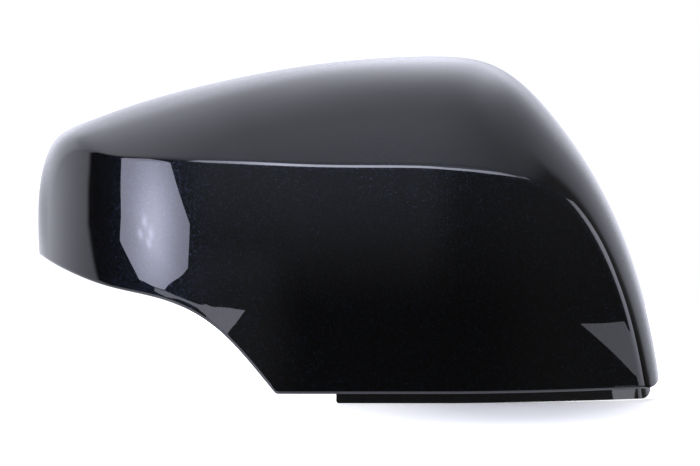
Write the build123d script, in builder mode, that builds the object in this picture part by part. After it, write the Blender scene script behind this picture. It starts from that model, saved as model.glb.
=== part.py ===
import os
from math import atan, atan2, cos, degrees, exp, hypot, log, radians, sin, sqrt

from build123d import *

# Wing mirror cover for a left-hand door mirror: one moulded shell, painted outside and open at the rear and below.
# X runs outboard, Y to the rear and Z up. Sizes are taken from the front of the panel and from its lower edge.

depth = 82.0
wall = 2.5
rim_level = 60.0

# Rear outline as it looks from the front.
inboard_reach = 121.3
outboard_reach = 119.7
crown_x = 33.0
crown_height = 126.7

# Crease between the front panel and the hood, as it looks from the front.
crease_inboard_x = 114.0
crease_outboard_x = 107.6
crease_height = 82.4
crease_radius = 4.5
crease_radius_outboard = 7.0
crease_radius_inboard = 100.0

# Front panel: nearly upright, wrapped back round the inboard end and eased back outboard.
wrap_start_x = -16.0
wrap_radius = 108.0
outboard_start_x = 28.0
outboard_radius = 190.0
lean_centre_z = 45.0
lean_radius = 420.0

# Angles of the hood from the upright, where it leaves the crease and where it meets the rear rim.
hood_front_angle = 43.0
hood_rear_angle = 82.0
inboard_front_angle = 57.0
outboard_front_angle = 50.0
outboard_rear_angle = 87.0
inboard_bend_angle = 5.0
inboard_rear_angle = 72.0

# Arm cut-out and lower edge, as they look from the front.
arm_cut_end_x = -26.7
arm_cut_height = 44.0
lower_flat_end = 40.0
lower_corner_inset = 10.2
lower_corner_radius = 15.4
lower_corner_rise = 1.1
lower_edge_radius = 1.2
front_margin = 30.0

# Joggled flange that drops behind the lower edge into the lower housing.
flange_overlap = 0.3
flange_thickness = 2.2
flange_top = 12.0
flange_drop = 3.6
flange_rise = 0.65
flange_start_x = -5.0
flange_end_inset = 7.7
flange_corner_radius = 1.0
flange_end_radius = 4.5
flange_rear_gap = 1.5

# Locating pins on gusseted bosses.
pin_radius = 2.5
pin_length = 12.0
pin_chamfer = 0.8
pin_positions = ((-38, 58), (66, 44))
boss_radius = 4.5
boss_end_y = 34.0
gusset_thickness = 1.6
gusset_width = 26.0
gusset_end_y = 22.0

# Snap hooks: a web off the wall, a finger towards the rear and a barb that faces the wall.
hook_width = 10.0
hook_thickness = 2.0
hook_length = 22.0
hook_rear_gap = 4.0
hook_barb = 1.6
hook_barb_length = 3.0
hook_drop = 12.0
hook_root = 30.0
hook_inboard_gap = 4.0
top_hook_x = (-55, 0, 46)
outboard_hook_z = (34, 72)
inboard_hook_z = 68.0

# Stiffening ribs under the hood.
rib_positions = (-28, 24)
rib_thickness = 1.6
rib_front_y = 16.0
rib_rear_y = 62.0
rib_front_rise = 3.6
rib_rear_drop = 12.0

# Sections of the skin stand in a fan round a fore-and-aft axis below the panel.
fan_x = 10.0
fan_z = -70.0
fan_hole = 48.0
fan_first = 15.0
fan_last = 155.0
fan_sections = 57
rear_overrun = 6.0

with BuildLine(Plane.XZ) as rear_line:
    Spline(
        (-inboard_reach + 14, -30),
        (-inboard_reach + 4, 10),
        (-inboard_reach + 0.4, 50),
        (-inboard_reach, 66),
        (-inboard_reach + 0.9, 78),
        (-inboard_reach + 3, 87),
        (-inboard_reach + 5.9, 93.2),
        (-inboard_reach + 9.7, 97),
        (-inboard_reach + 16.5, 100.3),
        (-inboard_reach + 28, 104.7),
        (crown_x - 109, crown_height - 16.3),
        (crown_x - 85.6, crown_height - 10.3),
        (crown_x - 60.3, crown_height - 5.2),
        (crown_x - 33, crown_height - 1.6),
        (crown_x, crown_height),
        (crown_x + 11.5, crown_height - 0.6),
        (crown_x + 21.5, crown_height - 3),
        (crown_x + 33.2, crown_height - 10.1),
        (crown_x + 44.9, crown_height - 22.2),
        (outboard_reach - 28.9, 86.8),
        (outboard_reach - 16, 61.9),
        (outboard_reach - 6.9, 35.4),
        (outboard_reach - 2.6, 16.7),
        (outboard_reach, 0),
        (outboard_reach + 1.9, -24),
        (outboard_reach + 1.4, -50),
    )
with BuildLine(Plane.XZ) as crease_line:
    Spline(
        (-crease_inboard_x + 23, -30),
        (-crease_inboard_x + 11, 0),
        (-crease_inboard_x + 4.5, 25),
        (-crease_inboard_x + 0.7, 48),
        (-crease_inboard_x, 66),
        (-crease_inboard_x + 1.5, crease_height - 2.4),
        (-crease_inboard_x + 8, crease_height + 6.2),
        (-crease_inboard_x + 21, crease_height + 5.2),
        (-72, crease_height + 2.9),
        (-36, crease_height + 1.1),
        (0, crease_height),
        (54.2, crease_height - 2.8),
        (76.1, crease_height - 11),
        (crease_outboard_x - 16.6, 53.3),
        (crease_outboard_x - 5.2, 25.1),
        (crease_outboard_x, 2.2),
        (crease_outboard_x + 3.9, -24),
        (crease_outboard_x + 4.6, -50),
    )
rear_outline = rear_line.edges()[0]
crease_outline = crease_line.edges()[0]


def panel_at(x, z):
    # Depth and slopes of the front panel, seen from the front.
    y = (z - lean_centre_z) ** 2 / (2 * lean_radius)
    slope_x = 0.0
    slope_z = (z - lean_centre_z) / lean_radius
    if x < wrap_start_x:
        u = min((wrap_start_x - x) / wrap_radius, 0.999)
        y += wrap_radius * (1 - sqrt(1 - u * u))
        slope_x -= u / sqrt(1 - u * u)
    if x > outboard_start_x:
        u = (x - outboard_start_x) / outboard_radius
        y += outboard_radius * (1 - sqrt(1 - u * u))
        slope_x += u / sqrt(1 - u * u)
    return y, slope_x, slope_z


def ease(angle, low, high):
    t = min(max((angle - low) / (high - low), 0.0), 1.0)
    return t * t * t * (t * (6 * t - 15) + 10)


def mix(first, second, share):
    return first + (second - first) * share


def place_where(outline, before):
    # Place along an outline where a condition that holds at its inboard end stops holding.
    low = 0.0
    high = 1.0
    for _ in range(30):
        middle = (low + high) / 2
        if before(outline.position_at(middle)):
            low = middle
        else:
            high = middle
    return low


def reach(outline, angle):
    # Distance from the fan axis to an outline, and how squarely the section meets it there.
    ray = radians(angle)
    place = place_where(outline, lambda p: atan2(p.Z - fan_z, p.X - fan_x) > ray)
    point = outline.position_at(place)
    along = outline.tangent_at(place)
    return hypot(point.X - fan_x, point.Z - fan_z), abs(along.X * sin(ray) - along.Z * cos(ray))


def panel_point(r, ray):
    # Depth and lean of the panel in a section, and how squarely the section meets it.
    y, slope_x, slope_z = panel_at(fan_x + r * cos(ray), fan_z + r * sin(ray))
    across = slope_z * cos(ray) - slope_x * sin(ray)
    lean = atan(slope_x * cos(ray) + slope_z * sin(ray))
    return y, lean, sqrt(1 - across**2 / (1 + slope_x**2 + slope_z**2))


def along(angle, length):
    return Vector(cos(angle) * length, sin(angle) * length)


def skin(inset):
    # Solid under a surface that lies some way below the outside of the cover.
    with BuildPart() as body:
        for section in range(fan_sections):
            angle = mix(fan_first, fan_last, section / (fan_sections - 1))
            ray = radians(angle)
            inboard = ease(angle, 122, 134)
            towards = ease(angle, 104, 125)
            outboard = 1 - ease(angle, 45, 84)
            radius = mix(log(crease_radius), log(crease_radius_outboard), outboard)
            radius = exp(mix(radius, log(crease_radius_inboard), inboard))
            open_front = mix(hood_front_angle, outboard_front_angle, outboard)
            open_front = radians(mix(open_front, inboard_front_angle, towards))
            rear = radians(mix(mix(hood_rear_angle, outboard_rear_angle, outboard), inboard_rear_angle, inboard))
            front_pull = mix(mix(0.345, 0.16, outboard), 0.33, inboard)
            rear_pull = mix(mix(0.345, 0.45, outboard), 0.33, inboard)

            crease_r = reach(crease_outline, angle)[0]
            rear_r, rear_square = reach(rear_outline, angle)
            r1 = crease_r
            for _ in range(4):
                lean1 = panel_point(r1, ray)[1]
                front = mix(open_front, lean1 + radians(inboard_bend_angle), inboard)
                r1 = crease_r - radius * (sin((lean1 + front) / 2) - sin(lean1))
            y0, lean0, square0 = panel_point(fan_hole, ray)
            y1, lean1, square1 = panel_point(r1, ray)

            start = Vector(fan_hole, y0) + along(lean0 + radians(90), inset / square0)
            first = Vector(r1, y1) + along(lean1 + radians(90), inset / square1)
            bend = max(radius - inset / square1, 0.5)
            half = (lean1 + front) / 2
            middle = first + Vector(bend * (sin(half) - sin(lean1)), bend * (cos(lean1) - cos(half)))
            second = first + Vector(bend * (sin(front) - sin(lean1)), bend * (cos(lean1) - cos(front)))
            third = Vector(rear_r, depth) + along(rear + radians(90), inset / rear_square)
            last = third + along(rear, (depth + rear_overrun - third.Y) / sin(rear))
            panel_pull = 0.34 * (first - start).length
            hood_length = (third - second).length

            plane = Plane(
                origin=(fan_x, 0, fan_z),
                x_dir=(cos(ray), 0, sin(ray)),
                z_dir=(-sin(ray), 0, cos(ray)),
            )
            with BuildSketch(plane):
                with BuildLine():
                    Bezier(start, start + along(lean0, panel_pull), first - along(lean1, panel_pull), first)
                    ThreePointArc(first, middle, second)
                    Bezier(
                        second,
                        second + along(front, front_pull * hood_length),
                        third - along(rear, rear_pull * hood_length),
                        third,
                    )
                    Line(third, last)
                    Line(last, (fan_hole, last.Y))
                    Line((fan_hole, last.Y), start)
                make_face()
        loft()
    return body.part


lower_corner_x = outboard_reach - lower_corner_inset
flange_end_x = outboard_reach - flange_end_inset
with BuildPart() as shell:
    add(skin(0.0))
    with BuildSketch(Plane.XZ.offset(front_margin)):
        with BuildLine():
            Spline(
                (arm_cut_end_x - 101.3, arm_cut_height + 10),
                (arm_cut_end_x - 80.2, arm_cut_height),
                (arm_cut_end_x - 63, arm_cut_height - 5.6),
                (arm_cut_end_x - 38.5, arm_cut_height - 11.1),
                (arm_cut_end_x - 22.5, arm_cut_height - 19.7),
                (arm_cut_end_x - 8.3, 10),
                (arm_cut_end_x, 0),
            )
            Line((arm_cut_end_x, 0), (lower_flat_end, 0))
            Spline(
                (lower_flat_end, 0),
                (lower_corner_x - 37, lower_corner_rise - 0.75),
                (lower_corner_x, lower_corner_rise),
                tangents=((1, 0), (1, 0.03)),
            )
            corner = TangentArc(
                (lower_corner_x, lower_corner_rise),
                (lower_corner_x + lower_corner_radius, lower_corner_rise + lower_corner_radius),
                tangent=(1, 0.03),
            )
            Polyline(
                corner @ 1,
                corner @ 1 + 40 * (corner % 1),
                (outboard_reach + 40, crown_height + 40),
                (-inboard_reach - 40, crown_height + 40),
                (-inboard_reach - 40, arm_cut_height + 24),
                (arm_cut_end_x - 101.3, arm_cut_height + 10),
            )
        make_face()
    extrude(amount=-(front_margin + depth), mode=Mode.INTERSECT)
    lower_edges = []
    for face in shell.faces():
        if abs(face.normal_at().Y) < 1e-4:
            for edge in face.edges():
                if edge.geom_type != GeomType.LINE and edge.position_at(0.5).Y < depth - 0.1:
                    lower_edges.append(edge)
    fillet(lower_edges, lower_edge_radius)
    add(skin(wall), mode=Mode.SUBTRACT)

with BuildPart() as flange:
    with BuildSketch(Plane.XZ.offset(front_margin)) as flange_sketch:
        with BuildLine():
            Polyline(
                (flange_start_x, -flange_drop),
                (lower_flat_end, -flange_drop),
                (flange_end_x, flange_rise - flange_drop),
                (flange_end_x, flange_top),
                (flange_start_x, flange_top),
                close=True,
            )
        make_face()
        fillet(flange_sketch.vertices().group_by(Axis.X)[0], flange_corner_radius)
        fillet(flange_sketch.vertices().group_by(Axis.X)[-1].sort_by(Axis.Y)[0], flange_end_radius)
    extrude(amount=-(front_margin + depth - flange_rear_gap))
    add(skin(wall - flange_overlap), mode=Mode.INTERSECT)
    add(skin(wall - flange_overlap + flange_thickness), mode=Mode.SUBTRACT)

hook_rear_y = depth - hook_rear_gap
hook_front_y = hook_rear_y - hook_length
hook_planes = []
for x in top_hook_x:
    place = place_where(rear_outline, lambda p: p.X < x)
    z = rear_outline.position_at(place).Z - hook_drop
    hook_planes.append(Plane(origin=(x, 0, z), x_dir=(0, 1, 0), z_dir=(1, 0, 0)))
for z in outboard_hook_z:
    place = place_where(rear_outline, lambda p: p.X < crown_x or p.Z > z)
    x = rear_outline.position_at(place).X - hook_drop
    hook_planes.append(Plane(origin=(x, 0, z), x_dir=(0, 1, 0), z_dir=(0, 0, -1)))
wrap_rise = 1 - hook_front_y / wrap_radius
x = wrap_start_x - wrap_radius * sqrt(1 - wrap_rise**2) + wall + hook_inboard_gap
hook_planes.append(Plane(origin=(x, 0, inboard_hook_z), x_dir=(0, 1, 0), z_dir=(0, 0, 1)))

with BuildPart() as pins:
    for x, z in pin_positions:
        with BuildSketch(Plane.XZ.offset(-boss_end_y)):
            with Locations((x, z)):
                Circle(pin_radius)
        extrude(amount=-pin_length)
    chamfer(pins.faces().filter_by(Axis.Y).group_by(Axis.Y)[-1].edges(), pin_chamfer)

with BuildPart() as inside:
    for x, z in pin_positions:
        panel_y = panel_at(x, z)[0]
        with BuildSketch(Plane.XZ.offset(-panel_y)):
            with Locations((x, z)):
                Circle(boss_radius)
        extrude(amount=-(boss_end_y - panel_y))
        with BuildSketch(Plane.XZ.offset(-panel_y)):
            with Locations((x, z)):
                Rectangle(gusset_width, gusset_thickness)
                Rectangle(gusset_thickness, gusset_width)
        extrude(amount=-(gusset_end_y - panel_y))
    for plane in hook_planes:
        with BuildSketch(plane):
            with BuildLine():
                Polyline(
                    (hook_front_y, 0),
                    (hook_front_y, hook_root),
                    (hook_front_y + hook_thickness, hook_root),
                    (hook_front_y + hook_thickness, hook_thickness),
                    (hook_rear_y - hook_barb_length, hook_thickness),
                    (hook_rear_y - hook_barb_length, hook_thickness + hook_barb),
                    (hook_rear_y, hook_thickness),
                    (hook_rear_y, 0),
                    close=True,
                )
            make_face()
        extrude(amount=hook_width / 2, both=True)
    for x in rib_positions:
        place = place_where(rear_outline, lambda p: p.X < x)
        rib_rear_z = rear_outline.position_at(place).Z - rib_rear_drop
        with BuildSketch(Plane.YZ.offset(x)):
            with BuildLine():
                Polyline(
                    (rib_front_y, crease_height + rib_front_rise),
                    (rib_rear_y, rib_rear_z),
                    (rib_rear_y, crown_height + 10),
                    (rib_front_y, crown_height + 10),
                    close=True,
                )
            make_face()
        extrude(amount=rib_thickness / 2, both=True)
    add(skin(wall / 2), mode=Mode.INTERSECT)

# The rear rim is the plane Y = 0 of the cover's own frame.
with BuildPart() as mirror_cover:
    with Locations((0, -depth, -rim_level)):
        add(shell.part)
        add(flange.part)
        add(inside.part)
        add(pins.part)

os.makedirs("parts", exist_ok=True)
mirror_cover.part.label = "mirror_cover"
export_step(mirror_cover.part, "parts/mirror_cover.step")
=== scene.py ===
import math

import bmesh
import bpy
import numpy as np
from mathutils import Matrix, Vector


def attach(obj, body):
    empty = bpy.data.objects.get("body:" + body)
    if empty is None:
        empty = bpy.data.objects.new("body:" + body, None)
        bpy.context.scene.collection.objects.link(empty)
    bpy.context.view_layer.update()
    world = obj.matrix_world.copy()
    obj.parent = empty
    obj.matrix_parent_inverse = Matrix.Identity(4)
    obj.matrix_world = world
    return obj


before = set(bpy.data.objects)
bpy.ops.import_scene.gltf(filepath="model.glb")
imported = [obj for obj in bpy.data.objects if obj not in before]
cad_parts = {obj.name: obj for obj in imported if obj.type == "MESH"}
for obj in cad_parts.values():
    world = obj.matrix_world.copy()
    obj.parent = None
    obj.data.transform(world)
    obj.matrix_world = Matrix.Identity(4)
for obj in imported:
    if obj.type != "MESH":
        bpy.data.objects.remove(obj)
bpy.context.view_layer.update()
print("frame loaded:", ", ".join(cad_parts))

millimetre = 0.001


# The outside of the cover, in millimetres, drawn as the part's source draws it:
# X outboard, Y back from the front panel, Z up from the lower edge.
skinShape = {
    "depth": 82.0,                  # the rim's plane, on which the frame's origin lies
    "rimLevel": 60.0,               # the origin's height above the lower edge
    "fanCentre": (10.0, -70.0),
    "fanHole": 48.0,
    "fanAngles": (15.0, 155.0, 57),  # first, last and number of sections
    "rearLine": [
        (-107.3, -30), (-117.3, 10), (-120.9, 50), (-121.3, 66), (-120.4, 78), (-118.3, 87),
        (-115.4, 93.2), (-111.6, 97), (-104.8, 100.3), (-93.3, 104.7), (-76, 110.4), (-52.6, 116.4),
        (-27.3, 121.5), (0, 125.1), (33, 126.7), (44.5, 126.1), (54.5, 123.7), (66.2, 116.6),
        (77.9, 104.5), (90.8, 86.8), (103.7, 61.9), (112.8, 35.4), (117.1, 16.7), (119.7, 0),
        (121.6, -24), (121.1, -50)],
    "creaseLine": [
        (-91, -30), (-103, 0), (-109.5, 25), (-113.3, 48), (-114, 66), (-112.5, 80), (-106, 88.6),
        (-93, 87.6), (-72, 85.3), (-36, 83.5), (0, 82.4), (54.2, 79.6), (76.1, 71.4), (91, 53.3),
        (102.4, 25.1), (107.6, 2.2), (111.5, -24), (112.2, -50)],
    "armCut": [
        (-128, 54), (-106.9, 44), (-89.7, 38.4), (-65.2, 32.9), (-49.2, 24.3), (-35, 10), (-26.7, 0)],
    "lowerRise": [(40, 0), (72.5, 0.35), (109.5, 1.1)],
    "lowerCornerRadius": 15.4,
    "wrap": (-16.0, 108.0),         # start X and radius of the inboard bend
    "outboard": (28.0, 190.0),      # start X and radius of the outboard bend
    "lean": (45.0, 420.0),          # level Z and radius of the bend up and down
    "inboardTurn": (122.0, 134.0),  # fan angles over which the crease melts away inboard
    "openingTurn": (104.0, 125.0),  # fan angles over which the crease opens inboard
    "outboardTurn": (45.0, 84.0),   # fan angles over which the outboard side becomes the top
    # The next five change along the fan: on top, outboard and inboard.
    "creaseRadius": (4.5, 7.0, 100.0),
    "openAngle": (43.0, 50.0, 57.0),
    "rearAngle": (82.0, 87.0, 72.0),
    "frontPull": (0.345, 0.16, 0.33),
    "rearPull": (0.345, 0.45, 0.33),
    "panelPull": 0.34,
    "meltAngle": 5.0,               # bend that is left where the crease has melted away
}

paintFilm = {
    "lift": 0.2,                    # outer face above the moulding
    "thickness": 0.15,
    "columns": 400,
    "rows": 104,
    "rowPitch": 1.9,
    "creasePitch": 0.4,
    "creaseSpread": (0.6, 1.0),     # half width of the close rows: a share of the crease, and a length
    "edgeTurn": 2.0,                # how far the paint turns in under the lower edge
    "turnShare": 0.9,               # most of the depth behind the edge that the turn takes
    "edgeRound": 1.1,
    "roundShares": (0.2, 0.4),      # most of the column and of that depth that the rounding takes
    "edgeBow": 1.42,                # weight of the corner that the rounding is drawn towards
    "edgeSteps": 7,
    "edgeCrowding": (4.0, 0.7),     # how much closer the rows are at the edge, and over what length
    "leastAcross": 0.15,            # sine of the smallest angle between a column and the edge
    "shortest": 1.0,                # columns shorter than this are left out at the two corners
    "mergeDistance": 0.002,
    "innerPoint": (0.0, 112.0, 30.0),  # a place behind the panel, to tell the film's outer side
    # How finely the skin is worked out before the film's own points are taken from it.
    "lineSamples": 6000,
    "stretchSteps": 120,            # along each of the panel, the crease and the hood
    "sheetColumns": 2400,
    "rimSamples": 4000,
    "columnSamples": 700,
    "aheadSamples": 20,             # how far ahead a column's direction at the edge is taken
    "cutSamples": 600,
    "lowerSamples": 200,
    "cornerSamples": 60,
    "cornerRun": (1, 60, 30),       # straight run past the corner, in steps of the corner
    "firstGuess": 200.0,            # step where the search for the lower edge starts
    "repeats": 4,
}


def cubicThrough(knots, values, endSlopes=None):
    # Cubic spline through rows of values, with natural ends or with given end slopes.
    knots = np.asarray(knots, float)
    flat = np.asarray(values, float).reshape(len(knots), -1)
    step = np.diff(knots)
    rise = np.diff(flat, axis=0) / step[:, None]
    system = np.eye(len(knots))
    right = np.zeros_like(flat)
    for i in range(1, len(knots) - 1):
        system[i, i - 1:i + 2] = step[i - 1], 2 * (step[i - 1] + step[i]), step[i]
        right[i] = 6 * (rise[i] - rise[i - 1])
    if endSlopes is not None:
        system[0, :2] = 2 * step[0], step[0]
        system[-1, -2:] = step[-1], 2 * step[-1]
        right[0] = 6 * (rise[0] - endSlopes[0])
        right[-1] = 6 * (endSlopes[1] - rise[-1])
    bend = np.linalg.solve(system, right)

    def at(places):
        places = np.asarray(places, float)
        i = np.clip(np.searchsorted(knots, places) - 1, 0, len(step) - 1)
        before = (knots[i + 1] - places)[:, None]
        after = (places - knots[i])[:, None]
        width = step[i][:, None]
        curve = (bend[i] * before ** 3 + bend[i + 1] * after ** 3) / (6 * width)
        curve += (flat[i] / width - bend[i] * width / 6) * before
        curve += (flat[i + 1] / width - bend[i + 1] * width / 6) * after
        return curve.reshape((len(places),) + np.shape(values)[1:])

    return at


def travelled(points):
    return np.r_[0, np.cumsum(np.linalg.norm(np.diff(points, axis=0), axis=1))]


def drawnLine(points, count):
    # A drawn spline as a dense line of points.
    points = np.array(points, float)
    reach = travelled(points)
    order = min(3, len(points) - 1)
    near = order + 1
    firstSlope = np.polyfit(reach[:near], points[:near], order)[-2]
    lastSlope = np.polyfit(reach[-near:] - reach[-1], points[-near:], order)[-2]
    return cubicThrough(reach, points, (firstSlope, lastSlope))(np.linspace(0, reach[-1], count))


def seenFromFan(line):
    # Angle and reach of front-view points from the fan's centre.
    away = np.asarray(line)[..., [0, -1]] - skinShape["fanCentre"]
    angle = np.degrees(np.arctan2(away[..., 1], away[..., 0]))
    return angle, np.hypot(away[..., 0], away[..., 1])


def reachTable(points):
    # Reach of a drawn line from the fan's centre, by angle.
    angle, reach = seenFromFan(drawnLine(points, paintFilm["lineSamples"]))
    order = np.argsort(angle)
    return lambda wanted: np.interp(wanted, angle[order], reach[order])


def eased(value, low, high):
    t = min(max((value - low) / (high - low), 0.0), 1.0)
    return t * t * t * (t * (6 * t - 15) + 10)


def mixed(first, second, share):
    return first + (second - first) * share


def panelAt(x, z):
    # Depth of the front panel at a front-view place, and its two slopes.
    leanZ, leanRadius = skinShape["lean"]
    wrapX, wrapRadius = skinShape["wrap"]
    outX, outRadius = skinShape["outboard"]
    y, slopeX, slopeZ = (z - leanZ) ** 2 / (2 * leanRadius), 0.0, (z - leanZ) / leanRadius
    if x < wrapX:
        u = min((wrapX - x) / wrapRadius, 0.999)
        y += wrapRadius * (1 - math.sqrt(1 - u * u))
        slopeX -= u / math.sqrt(1 - u * u)
    if x > outX:
        u = (x - outX) / outRadius
        y += outRadius * (1 - math.sqrt(1 - u * u))
        slopeX += u / math.sqrt(1 - u * u)
    return y, slopeX, slopeZ


def bezier(p, t):
    t = np.asarray(t)[:, None]
    return (1 - t) ** 3 * p[0] + 3 * t * (1 - t) ** 2 * p[1] + 3 * t * t * (1 - t) * p[2] + t ** 3 * p[3]


def heading(angle):
    return np.array((math.cos(angle), math.sin(angle)))


def fanSection(angle, rearReach, creaseReach, steps):
    # One section of the skin: front panel, crease arc and hood, front to back.
    turn = math.radians(angle)
    fanX, fanZ = skinShape["fanCentre"]
    inboard = eased(angle, *skinShape["inboardTurn"])
    opening = eased(angle, *skinShape["openingTurn"])
    outboard = 1 - eased(angle, *skinShape["outboardTurn"])

    def place(reach):
        y, slopeX, slopeZ = panelAt(fanX + reach * math.cos(turn), fanZ + reach * math.sin(turn))
        return np.array((reach, y)), math.atan(slopeX * math.cos(turn) + slopeZ * math.sin(turn))

    def changing(values, inner=inboard):
        return mixed(mixed(values[0], values[1], outboard), values[2], inner)

    radius = math.exp(changing(np.log(skinShape["creaseRadius"])))
    openAngle = math.radians(changing(skinShape["openAngle"], opening))
    rearAngle = math.radians(changing(skinShape["rearAngle"]))
    bendReach = creaseReach(angle)
    for repeat in range(paintFilm["repeats"]):
        lean = place(bendReach)[1]
        frontAngle = mixed(openAngle, lean + math.radians(skinShape["meltAngle"]), inboard)
        bendReach = creaseReach(angle) - radius * (math.sin((lean + frontAngle) / 2) - math.sin(lean))
    start, startLean = place(skinShape["fanHole"])
    first, lean = place(bendReach)
    second = first + radius * np.array((math.sin(frontAngle) - math.sin(lean),
                                        math.cos(lean) - math.cos(frontAngle)))
    last = np.array((rearReach(angle), skinShape["depth"]))
    handle = skinShape["panelPull"] * np.linalg.norm(first - start)
    chord = np.linalg.norm(last - second)
    panel = bezier((start, start + handle * heading(startLean),
                    first - handle * heading(lean), first), steps)
    sweep = lean + steps * (frontAngle - lean)
    crease = first + radius * np.c_[np.sin(sweep) - math.sin(lean), math.cos(lean) - np.cos(sweep)]
    hood = bezier((second, second + changing(skinShape["frontPull"]) * chord * heading(frontAngle),
                   last - changing(skinShape["rearPull"]) * chord * heading(rearAngle), last), steps)
    reach, y = np.vstack((panel, crease[1:], hood[1:])).T
    return np.c_[fanX + reach * math.cos(turn), y, fanZ + reach * math.sin(turn)]


def lowerLine(lift):
    # The cut-out for the arm, the lower edge and its outboard corner, moved out by the paint's lift.
    cut = drawnLine(skinShape["armCut"], paintFilm["cutSamples"])
    rise = drawnLine(skinShape["lowerRise"], paintFilm["lowerSamples"])
    level = np.linspace(cut[-1], rise[0], paintFilm["lowerSamples"])[1:-1]
    heel = rise[-1] - rise[-2]
    lean = math.atan2(heel[1], heel[0])
    sweep = np.linspace(lean, lean + math.radians(90), paintFilm["cornerSamples"])[1:]
    turned = np.c_[np.sin(sweep) - math.sin(lean), math.cos(lean) - np.cos(sweep)]
    corner = rise[-1] + skinShape["lowerCornerRadius"] * turned
    run = corner[-1] + (corner[-1] - corner[-2]) * np.linspace(*paintFilm["cornerRun"])[:, None]
    line = np.vstack((cut, level, rise, corner, run))
    along = np.gradient(line, axis=0)
    along /= np.linalg.norm(along, axis=1)[:, None]
    return line + lift * np.c_[along[:, 1], -along[:, 0]]


def liftedSkin(lift):
    # The skin as a dense sheet of points, columns by steps, moved out by the paint's lift.
    rearReach = reachTable(skinShape["rearLine"])
    creaseReach = reachTable(skinShape["creaseLine"])
    steps = np.linspace(0, 1, paintFilm["stretchSteps"] + 1)
    angles = np.linspace(*skinShape["fanAngles"])
    sections = np.array([fanSection(angle, rearReach, creaseReach, steps) for angle in angles])
    chords = np.linalg.norm(np.diff(sections, axis=0), axis=2).mean(axis=1)
    stations = np.r_[0, np.cumsum(chords)]
    sheet = cubicThrough(stations, sections)(np.linspace(0, stations[-1], paintFilm["sheetColumns"]))
    outward = np.cross(np.gradient(sheet, axis=1), np.gradient(sheet, axis=0))
    outward /= np.linalg.norm(outward, axis=2)[..., None]
    return sheet + lift * outward


def onSheet(sheet, column, step):
    # Points of the dense sheet at fractional columns and steps.
    column = np.clip(column, 0, sheet.shape[0] - 1.001)
    step = np.clip(step, 0, sheet.shape[1] - 1.001)
    i, j = column.astype(int), step.astype(int)
    u, v = (column - i)[:, None], (step - j)[:, None]
    near = sheet[i, j] * (1 - v) + sheet[i, j + 1] * v
    far = sheet[i + 1, j] * (1 - v) + sheet[i + 1, j + 1] * v
    return near * (1 - u) + far * u


def evenly(values, travel, count):
    return np.interp(np.linspace(0, travel[-1], count), travel, values)


def lowerEdgeOnSheet(sheet):
    # Where the lower outline lies on the sheet, from the inboard rim to the outboard rim.
    angles, reaches = seenFromFan(sheet)
    columns, steps = np.arange(sheet.shape[0]), np.arange(sheet.shape[1])
    lineAngles, lineReaches = seenFromFan(lowerLine(paintFilm["lift"]))
    found = []
    for angle, reach in zip(lineAngles, lineReaches):
        step = paintFilm["firstGuess"]
        for repeat in range(paintFilm["repeats"]):
            j = min(int(step), len(steps) - 2)
            share = min(step - j, 1.0)
            column = np.interp(angle, mixed(angles[:, j], angles[:, j + 1], share), columns)
            i = min(int(column), len(columns) - 2)
            row = mixed(reaches[i], reaches[i + 1], column - i)
            step = np.interp(reach, row, steps)
        if reach < row[-1]:
            found.append((column, step))
    return np.array(found)


def rowPlaces(setBack, total, across, creaseAt, hasCrease):
    # Lengths along one column where its rows stand, closer at the crease and at the lower edge.
    fine = np.linspace(setBack, total, paintFilm["columnSamples"])
    share, more = paintFilm["creaseSpread"]
    half = share * (creaseAt[1] - creaseAt[0]) + more
    extra = paintFilm["rowPitch"] / paintFilm["creasePitch"] - 1 if hasCrease else 0
    density = 1 + extra * np.exp(-((fine - creaseAt.mean()) / half) ** 2)
    crowding, crowdLength = paintFilm["edgeCrowding"]
    density += crowding * np.exp(-(fine - setBack) * across / crowdLength)
    passed = np.r_[0, np.cumsum((density[1:] + density[:-1]) / 2)]
    return np.interp(np.linspace(0, passed[-1], paintFilm["rows"]), passed, fine)


def roundedEdge(under, corner, first):
    # The turn from the underside of the edge onto the first row.
    bow = np.linspace(0, 1, paintFilm["edgeSteps"] + 1)[:-1, None]
    weights = ((1 - bow) ** 2, paintFilm["edgeBow"] * bow * (1 - bow), bow ** 2)
    return (weights[0] * under + weights[1] * corner + weights[2] * first) / sum(weights)


def filmColumn(sheet, column, step, rimColumn, corner, along):
    # One column of the film, from under the lower edge up and back to the rear rim.
    steps = np.linspace(step, sheet.shape[1] - 1, paintFilm["columnSamples"])
    share = travelled(onSheet(sheet, np.full(len(steps), (column + rimColumn) / 2), steps))
    line = onSheet(sheet, mixed(column, rimColumn, share / share[-1]), steps)
    lengths = travelled(line)
    total = lengths[-1]
    if total < paintFilm["shortest"]:
        return None
    ahead = line[paintFilm["aheadSamples"]] - line[0]
    across = np.linalg.norm(np.cross(ahead / np.linalg.norm(ahead), along))
    across = max(across, paintFilm["leastAcross"])
    depthLeft = skinShape["depth"] - corner[1]
    columnShare, depthShare = paintFilm["roundShares"]
    rounding = min(paintFilm["edgeRound"], columnShare * total * across, depthShare * depthLeft)
    creaseSteps = paintFilm["stretchSteps"], 2 * paintFilm["stretchSteps"]
    creaseAt = np.interp(creaseSteps, steps, lengths)
    places = rowPlaces(rounding / across, total, across, creaseAt, step < creaseSteps[1])
    rows = np.stack([np.interp(places, lengths, line[:, axis]) for axis in range(3)], axis=1)
    inward = np.array((0.0, 1.0, 0.0))
    deep = corner + inward * min(paintFilm["edgeTurn"], paintFilm["turnShare"] * depthLeft)
    under = corner + inward * rounding
    return np.vstack((deep, (deep + 3 * under) / 4, roundedEdge(under, corner, rows[0]), rows))


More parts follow.
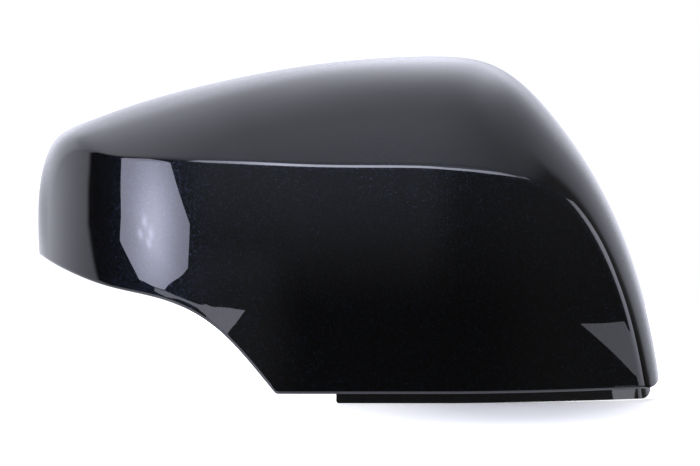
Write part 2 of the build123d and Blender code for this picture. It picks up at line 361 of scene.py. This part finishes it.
def filmPoints():
    # The film's columns, in even steps along the lower edge and along the rim.
    sheet = liftedSkin(paintFilm["lift"])
    count = paintFilm["columns"] + 1
    edge = lowerEdgeOnSheet(sheet)
    edgeTravel = travelled(onSheet(sheet, edge[:, 0], edge[:, 1]))
    edgeColumns = evenly(edge[:, 0], edgeTravel, count)
    edgeSteps = evenly(edge[:, 1], edgeTravel, count)
    rim = np.linspace(edge[0, 0], edge[-1, 0], paintFilm["rimSamples"])
    rimTravel = travelled(onSheet(sheet, rim, np.full(len(rim), sheet.shape[1] - 1)))
    rimColumns = evenly(rim, rimTravel, count)
    corners = onSheet(sheet, edgeColumns, edgeSteps)
    along = np.gradient(corners, axis=0)
    along /= np.linalg.norm(along, axis=1)[:, None]
    stations = zip(edgeColumns, edgeSteps, rimColumns, corners, along)
    columns = [filmColumn(sheet, *station) for station in stations]
    return np.array([column for column in columns if column is not None])


def placed(points):
    # From the drawing's millimetres to the frame's metres.
    return (np.asarray(points) - (0, skinShape["depth"], skinShape["rimLevel"])) * millimetre


def meshObject(name, bm, material):
    mesh = bpy.data.meshes.new(name)
    bm.to_mesh(mesh)
    bm.free()
    mesh.materials.append(material)
    obj = bpy.data.objects.new(name, mesh)
    bpy.context.scene.collection.objects.link(obj)
    return obj


def makePaintFilm(material):
    points = placed(filmPoints())
    columnCount, rowCount = points.shape[0] - 1, points.shape[1] - 1
    half = 0.5
    bm = bmesh.new()
    bmesh.ops.create_grid(bm, x_segments=columnCount, y_segments=rowCount, size=half)
    for vert in bm.verts:
        i, j = round((vert.co.x + half) * columnCount), round((vert.co.y + half) * rowCount)
        vert.co = points[i, j]
    bmesh.ops.dissolve_degenerate(bm, edges=bm.edges[:], dist=paintFilm["mergeDistance"] * millimetre)
    probe = max(bm.faces, key=lambda face: face.calc_area())
    outward = probe.calc_center_median() - Vector(placed(paintFilm["innerPoint"]))
    if probe.normal.dot(outward) < 0:
        bmesh.ops.reverse_faces(bm, faces=bm.faces[:])
    bmesh.ops.solidify(bm, geom=bm.faces[:], thickness=paintFilm["thickness"] * millimetre)
    for face in bm.faces:
        face.smooth = True
    film = meshObject("paint_film", bm, material)
    print("paint film:", len(film.data.vertices), "points,", len(film.data.polygons), "faces")
    return film


# Shader helpers
def newMaterial(name):
    material = bpy.data.materials.new(name)
    material.use_nodes = True
    tree = material.node_tree
    return material, tree, tree.nodes["Principled BSDF"]


def addNode(tree, kind, sockets=None, **settings):
    node = tree.nodes.new(kind)
    for name, value in settings.items():
        setattr(node, name, value)
    for socket, value in (sockets or {}).items():
        node.inputs[socket].default_value = value
    return node


def rampNode(tree, stops):
    node = tree.nodes.new("ShaderNodeValToRGB")
    elements = node.color_ramp.elements
    while len(elements) < len(stops):
        elements.new(0.5)
    for element, (place, shade) in zip(elements, stops):
        element.position = place
        element.color = (shade, shade, shade, 1)
    return node


unevenGloss = {
    "inputs": {"Vector": "NodeSocketVector", "Scale": "NodeSocketFloat", "Detail": "NodeSocketFloat",
               "Smooth": "NodeSocketFloat", "Rough": "NodeSocketFloat"},
    "outputs": {"Roughness": "NodeSocketFloat", "Grain": "NodeSocketFloat"},
    "grainRange": (0.3, 0.7),       # grain where the surface is at its smoothest and at its roughest
}


def makeUnevenGloss():
    group = bpy.data.node_groups.new("uneven_gloss", "ShaderNodeTree")
    for name, kind in unevenGloss["inputs"].items():
        group.interface.new_socket(name, in_out="INPUT", socket_type=kind)
    for name, kind in unevenGloss["outputs"].items():
        group.interface.new_socket(name, in_out="OUTPUT", socket_type=kind)
    link = group.links.new
    entry = addNode(group, "NodeGroupInput")
    result = addNode(group, "NodeGroupOutput")
    grain = addNode(group, "ShaderNodeTexNoise")
    low, high = unevenGloss["grainRange"]
    gloss = addNode(group, "ShaderNodeMapRange", {"From Min": low, "From Max": high})
    for name in ("Vector", "Scale", "Detail"):
        link(entry.outputs[name], grain.inputs[name])
    link(grain.outputs["Fac"], gloss.inputs["Value"])
    link(entry.outputs["Smooth"], gloss.inputs["To Min"])
    link(entry.outputs["Rough"], gloss.inputs["To Max"])
    link(gloss.outputs["Result"], result.inputs["Roughness"])
    link(grain.outputs["Fac"], result.inputs["Grain"])
    return group


metallicPaint = {
    "ground": (0.0007, 0.0008, 0.0011),
    "flake": (0.0110, 0.0146, 0.0260),
    "flakesPerMetre": 4500,
    "flakeTilt": 0.22,
    "flakeGlint": [(0.0, 0.0), (0.35, 0.12), (1.0, 1.0)],
    "clumpsPerMetre": 1700,
    "clumpShade": [(0.32, 0.08), (0.60, 0.22), (0.90, 0.9)],
    "clumpGain": 2.0,
    "driftPerMetre": 35.0,
    "driftDetail": 3.0,
    "roughness": (0.23, 0.29),
    "metallic": 0.9,
    "coatRoughness": 0.012,
    "coatIor": 1.5,
}


def makeMetallicPaint(glossGroup):
    material, tree, shader = newMaterial("metallic_black_paint")
    link = tree.links.new
    coords = addNode(tree, "ShaderNodeTexCoord")
    flakes = addNode(tree, "ShaderNodeTexVoronoi", {"Scale": metallicPaint["flakesPerMetre"]})
    glint = rampNode(tree, metallicPaint["flakeGlint"])
    # Flakes crowd and thin out over half a millimetre, which is the speckle in the bright reflections.
    clumps = addNode(tree, "ShaderNodeTexVoronoi", {"Scale": metallicPaint["clumpsPerMetre"]})
    crowd = rampNode(tree, metallicPaint["clumpShade"])
    share = addNode(tree, "ShaderNodeMath", operation="MULTIPLY")
    amount = addNode(tree, "ShaderNodeMath", {1: metallicPaint["clumpGain"]},
                     operation="MULTIPLY", use_clamp=True)
    tint = addNode(tree, "ShaderNodeMix", {6: (*metallicPaint["ground"], 1),
                                           7: (*metallicPaint["flake"], 1)}, data_type="RGBA")
    link(coords.outputs["Object"], flakes.inputs["Vector"])
    link(coords.outputs["Object"], clumps.inputs["Vector"])
    link(flakes.outputs["Color"], glint.inputs["Fac"])
    link(clumps.outputs["Color"], crowd.inputs["Fac"])
    link(glint.outputs["Color"], share.inputs[0])
    link(crowd.outputs["Color"], share.inputs[1])
    link(share.outputs["Value"], amount.inputs[0])
    link(amount.outputs["Value"], tint.inputs["Factor"])
    link(tint.outputs[2], shader.inputs["Base Color"])
    # Each flake lies a little askew under the clear coat.
    surface = addNode(tree, "ShaderNodeNewGeometry")
    centred = addNode(tree, "ShaderNodeVectorMath", {1: (0.5, 0.5, 0.5)}, operation="SUBTRACT")
    tilted = addNode(tree, "ShaderNodeVectorMath", {1: (metallicPaint["flakeTilt"],) * 3},
                     operation="MULTIPLY_ADD")
    unit = addNode(tree, "ShaderNodeVectorMath", operation="NORMALIZE")
    link(flakes.outputs["Color"], centred.inputs[0])
    link(centred.outputs["Vector"], tilted.inputs[0])
    link(surface.outputs["Normal"], tilted.inputs[2])
    link(tilted.outputs["Vector"], unit.inputs[0])
    link(unit.outputs["Vector"], shader.inputs["Normal"])
    # The ground coat under the clear coat is a little uneven.
    smooth, rough = metallicPaint["roughness"]
    drift = addNode(tree, "ShaderNodeGroup",
                    {"Scale": metallicPaint["driftPerMetre"], "Detail": metallicPaint["driftDetail"],
                     "Smooth": smooth, "Rough": rough}, node_tree=glossGroup)
    link(coords.outputs["Object"], drift.inputs["Vector"])
    link(drift.outputs["Roughness"], shader.inputs["Roughness"])
    shader.inputs["Metallic"].default_value = metallicPaint["metallic"]
    shader.inputs["Specular Tint"].default_value = (0, 0, 0, 1)
    shader.inputs["Coat Weight"].default_value = 1.0
    shader.inputs["Coat Roughness"].default_value = metallicPaint["coatRoughness"]
    shader.inputs["Coat IOR"].default_value = metallicPaint["coatIor"]
    return material


mouldedPlastic = {
    "colour": (0.008, 0.0082, 0.009),
    "specularLevel": 0.12,
    "grainsPerMetre": 2200,
    "grainDetail": 2.0,
    "grainStrength": 0.05,
    "grainHeight": 0.0001,
    "roughness": (0.24, 0.38),
    "coatStart": -0.0575,
    "coatFull": -0.0590,
    "coatRoughness": 0.02,
}


def makeMouldedPlastic(glossGroup):
    material, tree, shader = newMaterial("moulded_black_plastic")
    link = tree.links.new
    coords = addNode(tree, "ShaderNodeTexCoord")
    smooth, rough = mouldedPlastic["roughness"]
    grain = addNode(tree, "ShaderNodeGroup",
                    {"Scale": mouldedPlastic["grainsPerMetre"], "Detail": mouldedPlastic["grainDetail"],
                     "Smooth": smooth, "Rough": rough}, node_tree=glossGroup)
    bump = addNode(tree, "ShaderNodeBump", {"Strength": mouldedPlastic["grainStrength"],
                                            "Distance": mouldedPlastic["grainHeight"]})
    link(coords.outputs["Object"], grain.inputs["Vector"])
    link(grain.outputs["Roughness"], shader.inputs["Roughness"])
    link(grain.outputs["Grain"], bump.inputs["Height"])
    link(bump.outputs["Normal"], shader.inputs["Normal"])
    # The flange takes the clear coat with the outside; the inside stays as moulded.
    split = addNode(tree, "ShaderNodeSeparateXYZ")
    coated = addNode(tree, "ShaderNodeMapRange", {"From Min": mouldedPlastic["coatStart"],
                                                  "From Max": mouldedPlastic["coatFull"]})
    link(coords.outputs["Object"], split.inputs["Vector"])
    link(split.outputs["Z"], coated.inputs["Value"])
    link(coated.outputs["Result"], shader.inputs["Coat Weight"])
    shader.inputs["Base Color"].default_value = (*mouldedPlastic["colour"], 1)
    shader.inputs["Coat Roughness"].default_value = mouldedPlastic["coatRoughness"]
    shader.inputs["Specular IOR Level"].default_value = mouldedPlastic["specularLevel"]
    return material


gloss = makeUnevenGloss()
paint = makeMetallicPaint(gloss)
plastic = makeMouldedPlastic(gloss)
print("materials:", paint.name, "and", plastic.name)
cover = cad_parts["mirror_cover"]
for holder in cover.material_slots:
    holder.material = plastic
film = makePaintFilm(paint)
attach(film, "root")


# The floor glows white to the camera. Around one centre the glow is lowered, which paints a pool of
# shadow in front of the cover.
paleFloor = {
    "level": -0.0636,
    "size": 2.6,
    "shade": (0.9, 0.9, 0.9),
    "roughness": 0.9,
    "glow": (0.14, 0.62),           # in the pool of painted shadow, and beside it
    "paintedShadowCentre": (0.060, -0.11, 0.0),
    "paintedShadowShape": (1.0, 0.45, 0.0),
    "paintedShadowReach": (0.01, 0.08),
}


def makeFloor():
    bm = bmesh.new()
    bmesh.ops.create_grid(bm, x_segments=1, y_segments=1, size=paleFloor["size"] / 2)
    bmesh.ops.translate(bm, verts=bm.verts[:], vec=(0, 0, paleFloor["level"]))
    material, tree, shader = newMaterial("pale_floor")
    link = tree.links.new
    path = addNode(tree, "ShaderNodeLightPath")
    coords = addNode(tree, "ShaderNodeTexCoord")
    # Painted shadow: the glow to camera rays falls off towards the pool's centre in front of the cover.
    # This adds to the real shadow that the back light throws.
    fromPaintedShadow = addNode(tree, "ShaderNodeVectorMath", {1: paleFloor["paintedShadowCentre"]}, operation="SUBTRACT")
    shape = addNode(tree, "ShaderNodeVectorMath", {1: paleFloor["paintedShadowShape"]}, operation="MULTIPLY")
    reach = addNode(tree, "ShaderNodeVectorMath", operation="LENGTH")
    spread = addNode(tree, "ShaderNodeMapRange", interpolation_type="SMOOTHSTEP")
    for socket, number in zip(spread.inputs[1:], paleFloor["paintedShadowReach"] + paleFloor["glow"]):
        socket.default_value = number
    glow = addNode(tree, "ShaderNodeMath", operation="MULTIPLY")
    link(coords.outputs["Object"], fromPaintedShadow.inputs[0])
    link(fromPaintedShadow.outputs["Vector"], shape.inputs[0])
    link(shape.outputs["Vector"], reach.inputs[0])
    link(reach.outputs["Value"], spread.inputs["Value"])
    link(path.outputs["Is Camera Ray"], glow.inputs[0])
    link(spread.outputs["Result"], glow.inputs[1])
    link(glow.outputs["Value"], shader.inputs["Emission Strength"])
    shader.inputs["Emission Color"].default_value = (1, 1, 1, 1)
    shader.inputs["Base Color"].default_value = (*paleFloor["shade"], 1)
    shader.inputs["Roughness"].default_value = paleFloor["roughness"]
    floor = meshObject("floor", bm, material)
    floor.visible_glossy = False


# Softboxes of a small product studio, with corners in metres. A glow is a direction from the
# glow centre, its spread across and up, and the strength that it adds there.
glowCentre = (-0.075, -0.060, 0.0)
hotSpot = ((0.024, 0.013), 4.2)
softboxes = {
    "left": {
        "strength": 4.0,
        "colour": (0.95, 0.97, 1.24),
        "glows": [
            ((-0.908, -0.410, 0.045), (0.18, 0.13), 6.5),
            ((-0.941, -0.333, 0.059), *hotSpot),
            ((-0.958, -0.287, 0.024), *hotSpot),
            ((-0.921, -0.388, 0.036), *hotSpot),
            ((-0.933, -0.361, 0.009), *hotSpot)],
        "corners": [
            (-0.984, -0.144, 0.451), (-0.886, -0.283, 0.565), (-0.908, -0.580, 0.188),
            (-0.873, -0.643, 0.133), (-0.813, -0.727, 0.062), (-0.817, -0.725, -0.024),
            (-0.954, -0.525, -0.098), (-1.040, -0.326, -0.077), (-1.080, -0.159, 0.004),
            (-1.075, -0.168, 0.085)],
    },
    "overhead": {
        "strength": 5.0,
        "colour": (0.96, 0.98, 1.16),
        "glows": [
            ((-0.08, -0.78, 0.62), (0.30, 0.60), 6.0),
            ((0.55, -0.43, 0.72), (0.13, 0.30), -4.0)],
        "corners": [
            (-0.86, -0.68, 0.52), (-0.80, -0.88, 0.44), (-0.44, -1.08, 0.52), (0.0, -1.12, 0.55),
            (0.20, -1.14, 0.40), (0.39, -1.07, 0.45), (0.52, -0.95, 0.66), (0.61, -0.78, 0.77),
            (0.67, -0.56, 0.79), (0.62, -0.40, 0.88), (0.55, -0.58, 0.87), (0.45, -0.70, 0.84),
            (0.32, -0.88, 0.72), (0.17, -0.97, 0.71), (0.0, -0.84, 0.90), (-0.35, -0.73, 0.97),
            (-0.72, -0.60, 0.77)],
    },
    "right": {
        "strength": 1.6,
        "colour": (0.97, 0.98, 1.12),
        "glows": [((0.98, -0.05, 0.20), (0.35, 0.35), 1.8)],
        "corners": [
            (0.709, -0.845, -0.150), (0.793, -0.775, -0.147), (0.923, -0.630, -0.134),
            (1.015, -0.420, -0.078), (1.025, -0.415, 0.144), (0.965, -0.345, 0.400),
            (0.850, -0.230, 0.570), (0.860, 0.150, 0.570), (1.000, 0.190, 0.330),
            (1.060, 0.025, 0.170), (1.060, 0.020, -0.220), (0.895, -0.644, -0.251),
            (0.879, -0.674, -0.238), (0.839, -0.716, -0.216), (0.800, -0.758, -0.195)],
    },
    "paper": {
        "strength": 2.9,
        "colour": (0.97, 0.98, 1.14),
        "glows": [],
        "corners": [
            (-0.990, -0.454, -0.092), (-0.954, -0.525, -0.100), (-0.902, -0.606, -0.114),
            (-0.852, -0.676, -0.114), (-0.774, -0.766, -0.105), (-0.704, -0.830, -0.097),
            (-0.645, -0.875, -0.107), (-0.557, -0.931, -0.119), (-0.461, -0.980, -0.131),
            (-0.516, -0.951, -0.152), (-0.555, -0.928, -0.159), (-0.600, -0.890, -0.260),
            (-0.700, -0.820, -0.260), (-0.711, -0.822, -0.126), (-0.781, -0.756, -0.119),
            (-0.870, -0.651, -0.123), (-0.930, -0.564, -0.117), (-0.994, -0.445, -0.100)],
    },
    "card": {
        "strength": 3.0,
        "colour": (0.97, 0.98, 1.12),
        "glows": [],
        "corners": [
            (0.822, -0.715, -0.289), (0.897, -0.631, -0.282), (0.900, -0.628, -0.308),
            (0.840, -0.690, -0.314)],
    },
}


def makeSoftbox(name, strength, colour, glows, corners):
    bm = bmesh.new()
    bm.faces.new([bm.verts.new(corner) for corner in corners])
    material = bpy.data.materials.new("softbox_" + name)
    material.use_nodes = True
    tree = material.node_tree
    tree.nodes.clear()
    link = tree.links.new
    coords = addNode(tree, "ShaderNodeTexCoord")
    offset = addNode(tree, "ShaderNodeVectorMath", {1: glowCentre}, operation="SUBTRACT")
    toward = addNode(tree, "ShaderNodeVectorMath", operation="NORMALIZE")
    link(coords.outputs["Object"], offset.inputs[0])
    link(offset.outputs["Vector"], toward.inputs[0])
    level = addNode(tree, "ShaderNodeValue")
    level.outputs[0].default_value = strength
    for way, (across, up), extra in glows:
        away = addNode(tree, "ShaderNodeVectorMath", {1: way}, operation="SUBTRACT")
        spread = addNode(tree, "ShaderNodeVectorMath", {1: (across, across, up)}, operation="DIVIDE")
        square = addNode(tree, "ShaderNodeVectorMath", operation="DOT_PRODUCT")
        fall = addNode(tree, "ShaderNodeMath", {0: 1 / math.e}, operation="POWER")
        total = addNode(tree, "ShaderNodeMath", {1: extra}, operation="MULTIPLY_ADD")
        link(toward.outputs["Vector"], away.inputs[0])
        link(away.outputs["Vector"], spread.inputs[0])
        link(spread.outputs["Vector"], square.inputs[0])
        link(spread.outputs["Vector"], square.inputs[1])
        link(square.outputs["Value"], fall.inputs[1])
        link(fall.outputs["Value"], total.inputs[0])
        link(level.outputs[0], total.inputs[2])
        level = total
    lamp = addNode(tree, "ShaderNodeEmission", {"Color": (*colour, 1)})
    output = addNode(tree, "ShaderNodeOutputMaterial")
    link(level.outputs[0], lamp.inputs["Strength"])
    link(lamp.outputs["Emission"], output.inputs["Surface"])
    box = meshObject("softbox_" + name, bm, material)
    box.visible_camera = False
    box.visible_diffuse = False
    box.visible_shadow = False


backLight = {
    "place": (0.0, 1.0, 0.5),
    "size": 0.8,
    "power": 22.0,
}


def makeBackLight():
    # A soft lamp behind the cover that throws its shadow forward on the floor.
    data = bpy.data.lights.new("back_light", "AREA")
    data.size = backLight["size"]
    data.energy = backLight["power"]
    lamp = bpy.data.objects.new("back_light", data)
    lamp.location = backLight["place"]
    lamp.rotation_euler = (-Vector(backLight["place"])).to_track_quat("-Z", "Y").to_euler()
    lamp.visible_glossy = False
    bpy.context.scene.collection.objects.link(lamp)


viewpoint = {
    "distance": 1.082,
    "level": -0.002,
    "lens": 142.857,
    "sensorWidth": 36.0,
}


def makeCamera():
    data = bpy.data.cameras.new("camera")
    data.sensor_width = viewpoint["sensorWidth"]
    data.lens = viewpoint["lens"]
    camera = bpy.data.objects.new("camera", data)
    camera.location = (0, -viewpoint["distance"], viewpoint["level"])
    camera.rotation_euler = (math.radians(90), 0, 0)
    bpy.context.scene.collection.objects.link(camera)
    bpy.context.scene.camera = camera


# The room around the cover. A patch is a product of soft ramps over the view direction: its axis,
# where the ramp starts and ends, and its level at those two places if that isn't 0 and 1.
room = {
    "brightTint": (0.965, 0.985, 1.13),
    "darkTint": (1.0, 0.98, 0.94),
    "tintRange": (0.08, 0.30),      # levels from which the room is tinted as dark and as bright
    "leftFoot": (-0.05, 0.025, 0.06, 0.24),
    "leftHead": (0.08, 0.22, 0.0, 0.07),
    "leftBlur": (-0.03, 0.03),
    "rightSlope": 0.45,
    "rightBlur": (0.60, 0.78),
    "highFade": (0.0, 0.45, 1.0, 0.5),
    "patches": {
        "rightSide": [("X", -0.3, 0.5)],
        "ceiling": [("Z", 0.50, 0.78), ("X", 0.62, 0.42)],
        "lowFade": [("X", 0.20, 0.45, 1.03, 0.55)],
        "highPart": [("Z", 0.80, 0.93)],
        "wall": [("X", -0.30, -0.12, 0.99, 0.87)],
        "zenith": [("Z", 0.93, 0.995, 0.0, 0.15)],
        "window": [("Z", 0.88, 0.56), ("Z", 0.18, 0.45),
                   ("X", -0.14, 0.04), ("X", 0.46, 0.18, 0.0, 0.9)],
        "lowWall": [("Z", 0.62, 0.45), ("Y", 0.1, 0.7), ("X", 0.0, 0.12, 0.3, 0.0)],
        "haze": [("X", -0.95, -0.6), ("X", -0.05, 0.2, 1.0, 0.3), ("Z", -0.12, 0.22, 0.0, 0.38)],
        "lowHaze": [("X", -0.05, -0.40), ("X", -0.95, -0.65), ("Z", 0.05, -0.03, 0.0, 0.14)],
        "gloom": [("X", 0.2, 0.6, 0.06, 0.11), ("Y", -0.2, 0.3, 1.0, 0.45)],
        "table": [("Z", -0.40, -0.53), ("X", -0.40, -0.15, 2.8, 1.4)],
        "tableEnd": [("Z", -0.20, -0.36), ("X", -0.30, -0.50, 0.0, 2.2)],
    },
}


def makeWorld():
    # A white studio behind and above the cover and a dark one in front of it.
    # The camera sees plain white.
    world = bpy.data.worlds.new("studio")
    bpy.context.scene.world = world
    world.use_nodes = True
    tree = world.node_tree
    link = tree.links.new
    way = addNode(tree, "ShaderNodeTexCoord")
    split = addNode(tree, "ShaderNodeSeparateXYZ")
    link(way.outputs["Generated"], split.inputs["Vector"])
    x, y, z = split.outputs

    def feed(node, sources):
        for socket, source in zip(node.inputs, sources):
            if isinstance(source, (int, float)):
                socket.default_value = source
            else:
                link(source, socket)

    def ranged(kind, value, start, end, startLevel=0.0, endLevel=1.0):
        node = addNode(tree, "ShaderNodeMapRange", interpolation_type=kind)
        feed(node, (value, start, end, startLevel, endLevel))
        return node.outputs["Result"]

    def combined(operation, first, *others):
        for other in others:
            node = addNode(tree, "ShaderNodeMath", operation=operation)
            feed(node, (first, other))
            first = node.outputs["Value"]
        return first

    def patch(name):
        ramps = []
        for axis, *ends in room["patches"][name]:
            ramps.append(ranged("SMOOTHSTEP", split.outputs[axis], *ends))
        return combined("MULTIPLY", *ramps)

    # How white the room is: behind the cover, with an edge at each side, and above it.
    leftEdge = combined("SUBTRACT", y, ranged("LINEAR", z, *room["leftFoot"]))
    leftEdge = combined("ADD", leftEdge, ranged("LINEAR", z, *room["leftHead"]))
    rightEdge = combined("ADD", y, combined("MULTIPLY", z, room["rightSlope"]))
    behindLeft = ranged("SMOOTHSTEP", leftEdge, *room["leftBlur"])
    behindRight = ranged("SMOOTHSTEP", rightEdge, *room["rightBlur"])
    behind = ranged("LINEAR", patch("rightSide"), 0, 1, behindLeft, behindRight)
    highFade = ranged("LINEAR", x, *room["highFade"])
    fade = ranged("LINEAR", patch("highPart"), 0, 1, patch("lowFade"), highFade)
    white = combined("MULTIPLY", combined("MAXIMUM", behind, patch("ceiling")), fade)

    # The levels of its white and dark parts.
    bright = combined("ADD", patch("wall"), patch("zenith"), patch("window"), patch("lowWall"))
    table = combined("MAXIMUM", patch("table"), patch("tableEnd"))
    dark = combined("ADD", patch("haze"), patch("gloom"), patch("lowHaze"), table)
    level = combined("ADD", dark, combined("MULTIPLY", white, combined("SUBTRACT", bright, dark)))

    path = addNode(tree, "ShaderNodeLightPath")
    hue = addNode(tree, "ShaderNodeMix", {6: (*room["darkTint"], 1), 7: (*room["brightTint"], 1)},
                  data_type="RGBA")
    seen = addNode(tree, "ShaderNodeMix", {7: (1, 1, 1, 1)}, data_type="RGBA")
    background = tree.nodes["Background"]
    link(ranged("LINEAR", level, *room["tintRange"]), hue.inputs["Factor"])
    link(hue.outputs[2], seen.inputs[6])
    link(path.outputs["Is Camera Ray"], seen.inputs["Factor"])
    link(seen.outputs[2], background.inputs["Color"])
    link(combined("MAXIMUM", level, path.outputs["Is Camera Ray"]), background.inputs["Strength"])


makeFloor()
for name, settings in softboxes.items():
    makeSoftbox(name, **settings)
makeBackLight()
makeCamera()
makeWorld()
bpy.context.scene.view_settings.view_transform = "Standard"
print("studio set:", len(softboxes), "softboxes")
